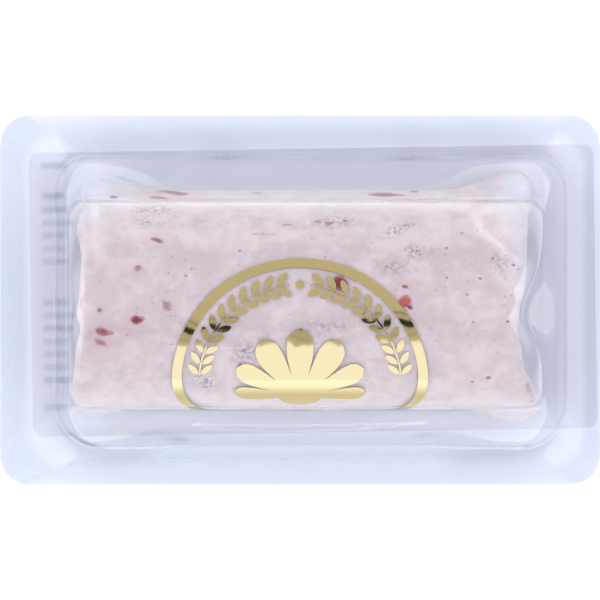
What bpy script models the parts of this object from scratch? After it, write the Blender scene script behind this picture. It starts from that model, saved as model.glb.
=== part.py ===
"""Goat cheese log with cranberries, sealed in a clear formed pack.

The pack lies on its back: the paper label is down and the clear dome is up.
Units are metres and +Z is up. +X runs along the log, and the origin is on the
floor, under the middle of the pack.
"""

import math

import bmesh
import bpy
from mathutils import Matrix, Vector
from mathutils.bvhtree import BVHTree

MM = 0.001
GAP = 0.3 * MM
MERGE = 0.001 * MM

# Sheets under the dome, from the floor up
LABEL_LENGTH = 107.4 * MM
LABEL_WIDTH = 54.0 * MM
LABEL_CORNER = 2.0 * MM
LABEL_SHEET = 0.2 * MM
LABEL_TURN = math.radians(0.9)
LABEL_CENTRE = Vector((2.5 * MM, 1.8 * MM))
WEB_SHEET = 0.3 * MM
WEB_BOTTOM = LABEL_SHEET + GAP

# Clear dome and its flange
PACK_LENGTH = 114.0 * MM
PACK_WIDTH = 70.2 * MM
PACK_CORNER = 5.7 * MM
FILM_WALL = 0.5 * MM
FLANGE_TOP = WEB_BOTTOM + WEB_SHEET + GAP + FILM_WALL
DOME_RADIUS = 19.8 * MM
AXIS_HEIGHT = 21.6 * MM
RIDGE_Y = -0.8 * MM
SHOULDER_LEFT = -43.7 * MM
SHOULDER_RIGHT = 45.8 * MM
ROOT_LEFT = -46.2 * MM
ROOT_RIGHT = 50.5 * MM
ROOT_REACH_BACK = 27.8 * MM
ROOT_REACH_FRONT = 27.1 * MM
UPRIGHT_FRONT = 8.5 * MM
ROOT_CORNER_BACK = 6.2 * MM
ROOT_CORNER_FRONT = 9.0 * MM
DOME_CORNER = 2.8 * MM
END_EDGE = 2.0 * MM
ROOT_FILLET = 0.8 * MM

# How far the dome's upper ends and its upright front lean inwards, per height
END_DRAFT = 0.05
FRONT_DRAFT = 0.03

# The dome widens into its four corners: how steeply, and from where to where along its length
POCKET_SWELL = 3.2
POCKET_START = 24.0 * MM
POCKET_END = 41.0 * MM

# The pinch in the right end
FOLD_DEPTH = 3.4 * MM
FOLD_Y = -3.0 * MM
FOLD_SPREAD_BACK = 7.5 * MM
FOLD_SPREAD_FRONT = 5.0 * MM
FOLD_REACH = 12.0 * MM
FOLD_FOOT = 5.0 * MM

# Cheese log
LOG_LEFT = -42.8 * MM
LOG_RIGHT = 44.2 * MM
LOG_RADIUS = 18.7 * MM
LOG_BOTTOM = WEB_BOTTOM + WEB_SHEET + GAP
LOG_DEPTH = 21.4 * MM
LOG_SAG_BACK = 4.5 * MM
LOG_SAG_FRONT = 1.2 * MM
LOG_CORNER = 2.8 * MM
LOG_FOOT_CORNER = 6.5 * MM
LOG_END_EDGE = 1.5 * MM
LOG_END_REACH = 9.0 * MM

# The room that the log leaves to the dome's outside, beside it and at its ends
LOG_ROOM = 1.5 * MM
LOG_END_ROOM = 1.0 * MM

# Where the log's uneven ends lie: y and x in mm
LEFT_END = (
    (-24.0, -43.4), (-19.0, -42.9), (-16.8, -42.8), (-12.5, -41.9), (-9.0, -41.6), (-5.6, -40.7), (-2.8, -41.4),
    (2.0, -40.9), (7.1, -40.5), (13.2, -41.5), (18.3, -41.0), (24.0, -41.0),
)
RIGHT_END = (
    (-23.0, 45.8), (-20.0, 44.4), (-18.3, 43.2), (-16.2, 42.7), (-12.8, 41.5), (-9.5, 41.2), (-5.4, 40.3),
    (-2.8, 40.8), (0.0, 41.4), (5.0, 42.0), (10.0, 42.2), (15.0, 42.6), (18.5, 43.6), (24.0, 45.2),
)

# How far the soft log fills each widened corner, by its end (right 1, left -1) and side (back 1, front -1)
CORNER_FILL = {(-1, 1): 0.55, (1, 1): 0.85, (-1, -1): 0.45, (1, -1): 0.64}

# Cranberry pieces in the surface, seen from above: x, y, length and width in mm, turn in degrees
BERRIES = (
    (-36.7, -6.1, 4.0, 2.2, -12),
    (-30.2, -3.7, 3.0, 1.7, 6),
    (-24.8, -1.1, 1.8, 2.0, 20),
    (-27.0, 11.0, 3.3, 1.4, -22),
    (-30.3, 5.9, 1.9, 1.5, 10),
    (7.1, 3.0, 2.9, 3.1, 12),
    (19.4, -0.4, 3.2, 2.7, 30),
    (16.2, 19.2, 6.4, 1.4, 1),
    (-25.0, 19.2, 5.0, 1.3, -14),
    (5.4, 14.6, 4.0, 1.4, 6),
)
BERRY_HALF_DEPTH = 1.2 * MM
BERRY_PROUD = 0.2 * MM

# Gold foil ornament on the dome's front
FOIL_SHEET = 0.12 * MM
FOIL_FACET = 3.0 * MM
SEAL_ARC = 15.0 * MM
SEAL_RADIUS = 23.8 * MM
SEAL_BAND = 1.8 * MM
FAN_ARC = 20.5 * MM
FAN_LEAVES = 7
FAN_OPENING = math.radians(200.0)
FAN_CORE = 4.0 * MM
FAN_REACH = 16.0 * MM
FAN_SIDE_REACH = 12.0 * MM
FAN_POINT = 0.16
FAN_SIDE = 5.0

# Fineness of the meshes
CORNER_STEPS = 5
LONG_STEPS = 18
SHORT_STEPS = 12
FILLET_STEPS = 2
WALL_STEPS = 7
ARCH_STEPS = 10
RIDGE_ANGLE = math.radians(86.0)
RING_STEPS = 96
FAN_STEPS = 144

# An outline's corners take at most this share of its width, so that its short sides stay
CORNER_SHARE = 0.49


def clear_scene():
    for item in list(bpy.data.objects):
        bpy.data.objects.remove(item, do_unlink=True)


def linear(channel):
    """One sRGB channel, 0 to 1, as linear light."""
    if channel <= 0.04045:
        return channel / 12.92
    return ((channel + 0.055) / 1.055) ** 2.4


def finish(name, colour, roughness, metallic=0.0, alpha=1.0):
    """A Principled material from an sRGB hex colour."""
    material = bpy.data.materials.new(name)
    material.use_nodes = True
    shader = material.node_tree.nodes["Principled BSDF"]
    channels = [int(colour[i : i + 2], 16) / 255 for i in (0, 2, 4)]
    shader.inputs["Base Color"].default_value = (*map(linear, channels), 1.0)
    shader.inputs["Roughness"].default_value = roughness
    shader.inputs["Metallic"].default_value = metallic
    shader.inputs["Alpha"].default_value = alpha
    return material


def smooth(value, start, end):
    """Rises from 0 at start to 1 at end, level at both."""
    share = min(max((value - start) / (end - start), 0.0), 1.0)
    return share * share * (3.0 - 2.0 * share)


def follow(line, y):
    """The x of a soft line through points in mm, at a y in metres."""
    y = y / MM
    if y <= line[0][0]:
        return line[0][1] * MM
    for (start_y, start_x), (end_y, end_x) in zip(line, line[1:]):
        if y <= end_y:
            return (start_x + (end_x - start_x) * smooth(y, start_y, end_y)) * MM
    return line[-1][1] * MM


def rounded_rectangle(left, right, front, back, front_corner, back_corner):
    """Points round a rectangle with arcs for corners, counter-clockwise."""
    corners = (
        (right - back_corner, back - back_corner, back_corner, 0.0),
        (left + back_corner, back - back_corner, back_corner, 0.5 * math.pi),
        (left + front_corner, front + front_corner, front_corner, math.pi),
        (right - front_corner, front + front_corner, front_corner, 1.5 * math.pi),
    )
    points = []
    for index, (x, y, radius, start) in enumerate(corners):
        for step in range(CORNER_STEPS + 1):
            angle = start + 0.5 * math.pi * step / CORNER_STEPS
            points.append((x + radius * math.cos(angle), y + radius * math.sin(angle)))
        next_x, next_y, next_radius, next_start = corners[(index + 1) % 4]
        end = Vector(points[-1])
        ahead = Vector((next_x, next_y)) + next_radius * Vector((math.cos(next_start), math.sin(next_start)))
        steps = LONG_STEPS if index % 2 == 0 else SHORT_STEPS
        points += [tuple(end.lerp(ahead, step / steps)) for step in range(1, steps)]
    return points


def add_ring(mesh, points):
    """A closed loop of edges through the points."""
    verts = [mesh.verts.new(point) for point in points]
    return [mesh.edges.new(pair) for pair in zip(verts, verts[1:] + verts[:1])]


def skin(mesh, rings):
    """Faces between each ring of points and the next, which are returned as loops of edges."""
    loops = [add_ring(mesh, ring) for ring in rings]
    for lower, upper in zip(loops, loops[1:]):
        bmesh.ops.bridge_loops(mesh, edges=lower + upper)
    return loops


def new_object(name, mesh, material, shade_angle=40.0):
    """An object from a bmesh, shaded smooth up to an angle between faces."""
    data = bpy.data.meshes.new(name)
    bmesh.ops.recalc_face_normals(mesh, faces=mesh.faces)
    mesh.to_mesh(data)
    mesh.free()
    data.materials.append(material)
    data.shade_smooth()
    data.set_sharp_from_angle(angle=math.radians(shade_angle))
    item = bpy.data.objects.new(name, data)
    bpy.context.collection.objects.link(item)
    return item


def fold(x, y, height, right):
    """Where a point at x lies once the right end is pinched in."""
    spread = FOLD_SPREAD_BACK if y > FOLD_Y else FOLD_SPREAD_FRONT
    across = math.exp(-(((y - FOLD_Y) / spread) ** 2))
    up = smooth(height, FOLD_FOOT, AXIS_HEIGHT)
    along = smooth(x, right - FOLD_REACH, right)
    return x - FOLD_DEPTH * across * up * along


def pocket(x):
    """0 along the dome's middle, rising to 1 in its corners."""
    return smooth(abs(x), POCKET_START, POCKET_END)


def dome_reach(height, side, x=0.0):
    """How far the dome stands out from the ridge line, to the back (1) or the front (-1)."""
    if height >= AXIS_HEIGHT:
        return math.sqrt(max(DOME_RADIUS**2 - (height - AXIS_HEIGHT) ** 2, 0.0))
    upright = UPRIGHT_FRONT * (1.0 - pocket(x)) if side < 0 else 0.0
    root = ROOT_REACH_FRONT if side < 0 else ROOT_REACH_BACK
    drop = AXIS_HEIGHT - height
    waist = DOME_RADIUS + FRONT_DRAFT * min(drop, upright)
    share = min(max(drop - upright, 0.0) / (AXIS_HEIGHT - FLANGE_TOP - upright), 1.0)
    swell = 1.0 + (POCKET_SWELL - 1.0) * pocket(x)
    return waist + (root - waist) * (1.0 - (1.0 - share) ** swell)


def dome_rise(height):
    """0 at the dome's root, rising evenly to 1 at its shoulders."""
    return min(max((height - FLANGE_TOP) / (AXIS_HEIGHT - FLANGE_TOP), 0.0), 1.0)


def dome_end(height, end):
    """Where the dome's right (1) or left (-1) end lies at a height, before the pinch."""
    root, shoulder = (ROOT_RIGHT, SHOULDER_RIGHT) if end > 0 else (ROOT_LEFT, SHOULDER_LEFT)
    lean = END_DRAFT * max(height - AXIS_HEIGHT, 0.0)
    over = max(height - (AXIS_HEIGHT + DOME_RADIUS - END_EDGE), 0.0)
    edge = END_EDGE - math.sqrt(END_EDGE**2 - over**2)
    return root + (shoulder - root) * dome_rise(height) - end * (lean + edge)


def dome_ring(height, margin=0.0):
    """The dome's outline at a height, margin wider than the wall."""
    left, right = dome_end(height, -1) - margin, dome_end(height, 1) + margin
    back = RIDGE_Y + dome_reach(height, 1) + margin
    front = RIDGE_Y - dome_reach(height, -1) - margin
    rise = dome_rise(height)
    widest = CORNER_SHARE * (back - front)
    back_corner = min(ROOT_CORNER_BACK + (DOME_CORNER - ROOT_CORNER_BACK) * rise + margin, widest)
    front_corner = min(ROOT_CORNER_FRONT + (DOME_CORNER - ROOT_CORNER_FRONT) * rise + margin, widest)
    points = []
    for x, y in rounded_rectangle(left, right, front, back, front_corner, back_corner):
        side = 1 if y > RIDGE_Y else -1
        plain = dome_reach(height, side) + margin
        y = RIDGE_Y + (y - RIDGE_Y) * (dome_reach(height, side, x) + margin) / plain
        points.append((fold(x, y, height, right), y, height))
    return points


def flange_ring():
    """The flange's cut edge."""
    x, y = PACK_LENGTH / 2, PACK_WIDTH / 2
    outline = rounded_rectangle(-x, x, -y, y, PACK_CORNER, PACK_CORNER)
    return [(px, py, FLANGE_TOP) for px, py in outline]


def formed_film():
    """The clear dome with its flange, one sheet of even thickness, open below."""
    foot = FLANGE_TOP + ROOT_FILLET
    rings = [flange_ring()]
    for step in range(FILLET_STEPS + 1):
        turn = 0.5 * math.pi * step / FILLET_STEPS
        margin = ROOT_FILLET * (1.0 - math.sin(turn))
        height = FLANGE_TOP + ROOT_FILLET * (1.0 - math.cos(turn))
        rings.append([(x, y, height) for x, y, _ in dome_ring(foot, margin)])
    for step in range(1, WALL_STEPS):
        rings.append(dome_ring(foot + (AXIS_HEIGHT - foot) * step / WALL_STEPS))
    for step in range(ARCH_STEPS + 1):
        rings.append(dome_ring(AXIS_HEIGHT + DOME_RADIUS * math.sin(RIDGE_ANGLE * step / ARCH_STEPS)))
    mesh = bmesh.new()
    loops = skin(mesh, rings)
    bmesh.ops.contextual_create(mesh, geom=loops[-1])
    item = new_object("formed_film", mesh, finish("clear_film", "DDE5F5", 0.08, alpha=0.3))
    wall = item.modifiers.new("wall", "SOLIDIFY")
    wall.thickness = FILM_WALL
    wall.offset = -1.0
    wall.use_even_offset = True
    return item


def plate(name, outline, bottom, sheet, material):
    """A flat sheet with a given outline."""
    mesh = bmesh.new()
    loop = add_ring(mesh, [(x, y, bottom) for x, y in outline])
    face = bmesh.ops.contextual_create(mesh, geom=loop)["faces"]
    lifted = bmesh.ops.extrude_face_region(mesh, geom=face)["geom"]
    verts = [part for part in lifted if isinstance(part, bmesh.types.BMVert)]
    bmesh.ops.translate(mesh, verts=verts, vec=(0.0, 0.0, sheet))
    return new_object(name, mesh, material)


def base_film():
    """The flat clear web that closes the pack behind."""
    outline = [(x, y) for x, y, _ in flange_ring()]
    return plate("base_film", outline, WEB_BOTTOM, WEB_SHEET, finish("clear_web", "D5DAEC", 0.1, alpha=0.4))


def back_label():
    """The paper label on the pack's back, stuck on slightly askew."""
    x, y = LABEL_LENGTH / 2, LABEL_WIDTH / 2
    turned = Matrix.Rotation(LABEL_TURN, 2)
    outline = rounded_rectangle(-x, x, -y, y, LABEL_CORNER, LABEL_CORNER)
    placed = [tuple(turned @ Vector(point) + LABEL_CENTRE) for point in outline]
    return plate("back_label", placed, 0.0, LABEL_SHEET, finish("label_paper", "D2D4E4", 0.55))


def log_reach(height, side, x):
    """How far the log stands out from its ridge line, sagging below its middle and filling the corners."""
    drop = AXIS_HEIGHT - height
    if drop <= 0.0:
        return math.sqrt(max(LOG_RADIUS**2 - drop**2, 0.0))
    sag = LOG_SAG_FRONT if side < 0 else LOG_SAG_BACK
    share = drop / LOG_DEPTH
    plain = LOG_RADIUS * math.sqrt(1.0 - share**2) + sag * math.sin(math.pi * share) ** 2
    room = dome_reach(height, side, x) - LOG_ROOM
    fill = CORNER_FILL[(1 if x > 0.0 else -1, side)] * pocket(x)
    return plain + max(room - plain, 0.0) * fill * smooth(share, 0.0, 0.3) * smooth(share, 0.95, 0.55)


def log_ring(height):
    """The log's outline at a height, with its uneven ends."""
    over = max(height - (AXIS_HEIGHT + LOG_RADIUS - LOG_END_EDGE), 0.0)
    edge = LOG_END_EDGE - math.sqrt(max(LOG_END_EDGE**2 - over**2, 0.0))
    left, right = LOG_LEFT + edge, LOG_RIGHT - edge
    back, front = log_reach(height, 1, 0.0), -log_reach(height, -1, 0.0)
    low = max(AXIS_HEIGHT - height, 0.0) / (AXIS_HEIGHT - LOG_BOTTOM)
    corner = min(LOG_CORNER + (LOG_FOOT_CORNER - LOG_CORNER) * low, CORNER_SHARE * (back - front))
    left_wall, right_wall = dome_end(height, -1), dome_end(height, 1)
    points = []
    for x, y in rounded_rectangle(left, right, front, back, corner, corner):
        side = 1 if y > 0.0 else -1
        y = RIDGE_Y + y * log_reach(height, side, x) / log_reach(height, side, 0.0)
        x += (follow(LEFT_END, y) - LOG_LEFT) * smooth(-x, -left - LOG_END_REACH, -left)
        x += (follow(RIGHT_END, y) - LOG_RIGHT) * smooth(x, right - LOG_END_REACH, right)
        pinched = fold(right_wall, y, height, right_wall)
        points.append((min(max(x, left_wall + LOG_END_ROOM), pinched - LOG_END_ROOM), y, height))
    return points


def log_body():
    """The log's mesh without its fruit, flat underneath."""
    depth = AXIS_HEIGHT - LOG_BOTTOM
    rings = []
    for step in range(ARCH_STEPS + 1):
        rings.append(log_ring(AXIS_HEIGHT - depth * math.cos(0.5 * math.pi * step / ARCH_STEPS)))
    for step in range(1, ARCH_STEPS + 1):
        rings.append(log_ring(AXIS_HEIGHT + LOG_RADIUS * math.sin(RIDGE_ANGLE * step / ARCH_STEPS)))
    mesh = bmesh.new()
    loops = skin(mesh, rings)
    bmesh.ops.contextual_create(mesh, geom=loops[0])
    bmesh.ops.contextual_create(mesh, geom=loops[-1])
    bmesh.ops.recalc_face_normals(mesh, faces=mesh.faces)
    return mesh


def berry(surface, x, y, length, width, turn):
    """One cranberry piece, a flattened ball sunk in the surface that lies under x and y."""
    above = Vector((x * MM, y * MM, 2.0 * AXIS_HEIGHT))
    place, normal, _, _ = surface.ray_cast(above, Vector((0.0, 0.0, -1.0)))
    facing = normal.to_track_quat("Z", "Y").to_matrix().to_4x4()
    heading = facing.inverted() @ Matrix.Rotation(math.radians(turn), 4, "Z") @ Vector((1.0, 0.0, 0.0))
    lean = Matrix.Rotation(math.atan2(heading.y, heading.x), 4, "Z")
    cut = math.sqrt(1.0 - (1.0 - BERRY_PROUD / BERRY_HALF_DEPTH) ** 2)
    size = Matrix.Diagonal((0.5 * length * MM / cut, 0.5 * width * MM / cut, BERRY_HALF_DEPTH, 1.0))
    sunk = Matrix.Translation(place - (BERRY_HALF_DEPTH - BERRY_PROUD) * normal)
    mesh = bmesh.new()
    bmesh.ops.create_uvsphere(mesh, u_segments=6, v_segments=4, radius=1.0, matrix=sunk @ facing @ lean @ size)
    return mesh


def cheese_log():
    """The soft log, with the cranberry pieces fused into its surface."""
    material = finish("goat_cheese", "DFD2DC", 0.5)
    body = log_body()
    surface = BVHTree.FromBMesh(body)
    log = new_object("cheese_log", body, material)
    pieces = bpy.data.collections.new("berry_pieces")
    for index, sizes in enumerate(BERRIES):
        item = new_object(f"berry_{index}", berry(surface, *sizes), material)
        bpy.context.collection.objects.unlink(item)
        pieces.objects.link(item)
    bpy.context.scene.collection.children.link(pieces)
    join = log.modifiers.new("berries", "BOOLEAN")
    join.operation = "UNION"
    join.operand_type = "COLLECTION"
    join.collection = pieces
    bpy.context.view_layer.objects.active = log
    bpy.ops.object.modifier_apply(modifier=join.name)
    for item in list(pieces.objects):
        bpy.data.objects.remove(item, do_unlink=True)
    bpy.data.collections.remove(pieces)
    return log


def on_dome(x, arc, lift):
    """A point lifted off the dome's skin, arc down its front from the ridge line."""
    quarter = 0.5 * math.pi * DOME_RADIUS
    angle = min(arc, quarter) / DOME_RADIUS
    reach = DOME_RADIUS + lift
    drop = max(arc - quarter, 0.0)
    out = reach * math.sin(angle) + FRONT_DRAFT * drop
    return Vector((x, RIDGE_Y - out, AXIS_HEIGHT + reach * math.cos(angle) - drop))


def foil_sheet(name, steps, place):
    """A thin sheet wrapped on the dome, where place(angle, share) gives x and the arc."""
    mesh = bmesh.new()
    bmesh.ops.create_grid(mesh, x_segments=steps, y_segments=1, size=0.5)
    for vert in mesh.verts:
        vert.co = (*place(2.0 * math.pi * (vert.co.x + 0.5), vert.co.y + 0.5), 0.0)
    bmesh.ops.remove_doubles(mesh, verts=mesh.verts, dist=MERGE)
    top = min(vert.co.y for vert in mesh.verts)
    foot = max(vert.co.y for vert in mesh.verts)
    for cut in range(1, math.ceil((foot - top) / FOIL_FACET)):
        parts = mesh.verts[:] + mesh.edges[:] + mesh.faces[:]
        line = (0.0, top + cut * FOIL_FACET, 0.0)
        bmesh.ops.bisect_plane(mesh, geom=parts, dist=MERGE, plane_co=line, plane_no=(0.0, 1.0, 0.0))
    for vert in mesh.verts:
        vert.co = on_dome(vert.co.x, vert.co.y, GAP)
    item = new_object(name, mesh, finish(f"{name}_gold", "D8C07C", 0.2, metallic=1.0))
    sheet = item.modifiers.new("sheet", "SOLIDIFY")
    sheet.thickness = FOIL_SHEET
    sheet.offset = 1.0 if item.data.polygons[0].normal.z > 0.0 else -1.0
    return item


def ring_place(angle, share):
    """The round band of the ornament."""
    radius = SEAL_RADIUS - SEAL_BAND * share
    return radius * math.cos(angle), SEAL_ARC - radius * math.sin(angle)


def fan_place(angle, share):
    """The fan of pointed leaves, longest in the middle, on a round foot."""
    away = abs(math.remainder(angle - 0.5 * math.pi, 2.0 * math.pi))
    leaf = abs(2.0 * math.fmod(away / (FAN_OPENING / FAN_LEAVES) + 0.5, 1.0) - 1.0)
    reach = FAN_SIDE_REACH + (FAN_REACH - FAN_SIDE_REACH) * math.cos(min(away, 0.5 * math.pi))
    lobe = (1.0 - FAN_POINT * leaf) * math.sqrt(1.0 - leaf**FAN_SIDE) if away < 0.5 * FAN_OPENING else 0.0
    radius = share * (FAN_CORE + (reach - FAN_CORE) * lobe)
    return radius * math.cos(angle), FAN_ARC - radius * math.sin(angle)


def main():
    clear_scene()
    back_label()
    base_film()
    formed_film()
    cheese_log()
    foil_sheet("foil_ring", RING_STEPS, ring_place)
    foil_sheet("foil_fan", FAN_STEPS, fan_place)


main()
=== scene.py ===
"""The looks of a cheese log in its clear pack: film, cheese, fruit, foil and label."""

import random
from math import atan2, ceil, copysign, cos, exp, fmod, pi, radians, remainder, sin, sqrt

import bmesh
import bpy
from mathutils import Matrix, Vector, noise
from mathutils.bvhtree import BVHTree


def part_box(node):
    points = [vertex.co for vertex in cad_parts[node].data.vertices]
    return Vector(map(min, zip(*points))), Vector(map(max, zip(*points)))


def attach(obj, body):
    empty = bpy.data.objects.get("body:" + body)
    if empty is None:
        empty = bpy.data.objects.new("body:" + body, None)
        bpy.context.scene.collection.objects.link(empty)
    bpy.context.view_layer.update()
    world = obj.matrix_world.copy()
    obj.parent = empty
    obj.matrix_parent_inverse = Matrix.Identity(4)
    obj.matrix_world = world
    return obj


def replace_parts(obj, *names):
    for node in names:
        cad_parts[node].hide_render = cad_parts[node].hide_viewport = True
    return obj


bl_info = {
    "name": "Packed Cheese Log",
    "version": (1, 0, 0),
    "blender": (4, 5, 0),
    "location": "3D View > Sidebar > Cheese Log",
    "description": "Dresses a cheese log in its clear pack with film, fruit, foil and label",
    "category": "Object",
}

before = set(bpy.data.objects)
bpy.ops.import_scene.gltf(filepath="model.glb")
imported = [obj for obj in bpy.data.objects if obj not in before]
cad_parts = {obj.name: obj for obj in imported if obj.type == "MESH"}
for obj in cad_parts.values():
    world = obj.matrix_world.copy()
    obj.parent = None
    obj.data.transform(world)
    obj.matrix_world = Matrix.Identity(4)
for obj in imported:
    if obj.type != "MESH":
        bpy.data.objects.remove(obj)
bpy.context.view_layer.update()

MM = 0.001
MERGE = 0.001 * MM

# Places and sizes read from the frame
FILM_LOW, FILM_HIGH = (Vector(corner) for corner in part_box("formed_film"))
PACK_LENGTH = FILM_HIGH.x - FILM_LOW.x
PACK_WIDTH = FILM_HIGH.y - FILM_LOW.y
LOG_BOTTOM = Vector(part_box("cheese_log")[0]).z

# The dome's form, as in the frame
FILM_SHEET = 0.5 * MM
FILM_WALL = 0.3 * MM
PACK_CORNER = 5.7 * MM
DOME_RADIUS = 19.8 * MM
AXIS_HEIGHT = 21.6 * MM
FLANGE_TOP = FILM_LOW.z + FILM_SHEET
RIDGE_Y = -0.8 * MM
SHOULDER_LEFT = -43.7 * MM
SHOULDER_RIGHT = 45.8 * MM
ROOT_LEFT = -46.2 * MM
ROOT_RIGHT = 50.5 * MM
ROOT_REACH_BACK = 27.8 * MM
ROOT_REACH_FRONT = 27.1 * MM
UPRIGHT_FRONT = 8.5 * MM
ROOT_CORNER_BACK = 6.2 * MM
ROOT_CORNER_FRONT = 9.0 * MM
DOME_CORNER = 2.8 * MM
END_EDGE = 2.0 * MM
ROOT_FILLET = 0.8 * MM
RIDGE_ANGLE = radians(89.0)

# How far the dome's upper ends and its upright front lean inwards, per height
END_DRAFT = 0.05
FRONT_DRAFT = 0.03

# The dome widens into its four corners: how steeply, and from where to where along its length
POCKET_SWELL = 3.2
POCKET_START = 24.0 * MM
POCKET_END = 41.0 * MM

# The pinch in the right end
FOLD_DEPTH = 3.4 * MM
FOLD_Y = -3.0 * MM
FOLD_SPREAD_BACK = 7.5 * MM
FOLD_SPREAD_FRONT = 5.0 * MM
FOLD_REACH = 12.0 * MM
FOLD_FOOT = 5.0 * MM

# The log, pressed against the film
LOG_LEFT = -42.8 * MM
LOG_RIGHT = 44.2 * MM
LOG_RADIUS = 19.3 * MM
LOG_DEPTH = 21.4 * MM
LOG_SAG_BACK = 4.2 * MM
LOG_SAG_FRONT = 1.4 * MM
LOG_CORNER = 2.8 * MM
LOG_FOOT_CORNER = 6.5 * MM
LOG_END_EDGE = 1.5 * MM
LOG_END_REACH = 9.0 * MM
LOG_ROOM = 1.1 * MM
LOG_END_ROOM = 0.8 * MM

# Where the log's uneven ends lie: y and x in mm
LEFT_END = (
    (-24.0, -43.4), (-19.0, -42.9), (-16.8, -42.8), (-12.5, -41.9), (-9.0, -41.6), (-5.6, -40.7), (-2.8, -41.4),
    (2.0, -40.9), (7.1, -40.5), (13.2, -41.5), (18.3, -41.0), (24.0, -41.0),
)
RIGHT_END = (
    (-23.0, 45.8), (-20.0, 45.0), (-17.8, 44.4), (-15.4, 43.0), (-12.8, 41.7), (-9.5, 41.2), (-5.4, 40.3), (-2.8, 40.8),
    (0.0, 41.4), (5.0, 42.0), (10.0, 42.2), (15.0, 42.6), (18.5, 43.6), (24.0, 45.2),
)

# An outline's corners take at most this share of its width, so that its short sides stay
CORNER_SHARE = 0.49

# How far the soft log fills each widened corner, by its end (right 1, left -1) and side (back 1, front -1)
CORNER_FILL = {(-1, 1): 0.55, (1, 1): 0.85, (-1, -1): 0.45, (1, -1): 0.64}
FILL_TOP = (0.0, 0.3)
FILL_FOOT = (0.95, 0.55)

# Fruit on the surface: x, y, length and width in mm, turn in degrees, colour, stain round it
FRUIT = (
    (-36.6, -5.9, 3.7, 1.7, -10, "9C5C64", 0.9), (-36.9, -7.9, 2.8, 1.3, -22, "98707A", 0.8),
    (-30.3, -3.7, 3.0, 1.8, 6, "782228", 0.9), (-29.5, -3.8, 1.3, 0.9, 10, "9A3A3E", 0.0),
    (-24.7, -1.1, 1.7, 2.2, 20, "A07C84", 0.7), (-26.6, 11.1, 2.8, 1.3, -22, "804E57", 0.9),
    (-30.0, 5.9, 1.8, 1.3, 10, "A3808C", 0.6), (-37.1, -1.9, 1.2, 0.9, 0, "986F76", 0.5),
    (7.4, 3.0, 3.5, 3.7, 12, "760C05", 0.9), (19.5, 2.5, 1.5, 0.9, 5, "9A5526", 0.2),
    (19.4, -0.4, 3.6, 2.9, 30, "A2463E", 0.6), (20.2, -1.3, 1.6, 1.0, -20, "7C3A40", 0.0),
    (16.2, 19.7, 7.4, 3.2, 0, "740A2C", 0.6), (-23.4, 20.1, 7.8, 2.4, -19, "86061C", 0.7),
    (-26.6, 19.2, 4.6, 2.2, -26, "7A0C28", 0.6), (-35.0, 19.3, 1.9, 1.5, -10, "7C1C28", 0.4),
    (-8.2, 20.1, 3.0, 0.5, 4, "7F7A8E", 0.2), (21.6, 20.4, 2.1, 1.4, 0, "6A5068", 0.2),
    (5.4, 14.3, 1.9, 1.0, 8, "8A626A", 1.0), (8.4, 14.7, 1.0, 0.8, -10, "7E6270", 0.7),
    (3.2, 14.5, 1.2, 0.7, 20, "967580", 0.8), (-2.6, 14.0, 2.4, 0.6, -8, "A28792", 0.7),
    (-7.0, 12.3, 4.6, 0.6, 0, "BC9F98", 0.3), (42.6, -16.4, 5.0, 1.4, -64, "A8989F", 0.6),
    (43.5, -18.9, 2.4, 1.0, -60, "A0929A", 0.5),
)
FRUIT_DEPTH = 0.25 * MM
RIM_SHARE = 0.9
RIM_FROM, RIM_TO = 0.5, 0.98

# How each piece and speck is shaped: its soft swells and fine bumps, how deep it sits, and a height above all
SWELL, SWELL_RATE = 0.35, 1.4
BUMPS, BUMP_RATE = 0.12, 4.0
SUNK_SHARE = 0.4
ABOVE_ALL = 0.1

# Specks: x, y and size in mm, the depth and colours of all, and where and how large the scattered ones are
SPECK_DEPTH = 0.12 * MM
SPECK_SHADES = ("8F8495", "9A8B98", "957880", "A08A90", "88757F")
FAINT_SHADES = ("ACA1AB", "B4A5AE", "AC949B", "B2A2A5", "A2949C")
SPECK_COUNT = 120
SPECK_SEED = 11
SPECK_LEFT, SPECK_RIGHT = -39.0, 41.0
SPECK_FRONT, SPECK_BACK = -18.5, 17.5
SPECK_SMALL, SPECK_LARGE = 0.2, 0.5
SPECK_SLIM, SPECK_BROAD = 0.5, 0.9
SPECK_TURN = 40
SPECKS = (
    (-11.2, 9.1, 0.7), (-20.1, 5.8, 0.6), (-21.2, 4.5, 0.8), (-24.4, 5.0, 0.5), (-7.6, 15.0, 0.6), (27.2, 9.6, 0.9),
    (27.2, 4.1, 0.6), (33.4, 4.0, 0.8), (39.6, 6.5, 0.8), (35.8, 7.7, 0.7), (30.1, 12.4, 0.8), (32.1, -4.1, 0.7),
    (38.5, -4.0, 0.7), (32.1, -15.2, 0.9), (35.0, -14.4, 1.3), (31.0, 1.0, 0.7), (-11.2, -12.0, 1.0),
    (-10.4, -9.4, 1.3), (-23.8, -8.2, 0.6), (-17.6, -16.2, 1.4), (-18.0, -2.8, 0.7),
)

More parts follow.
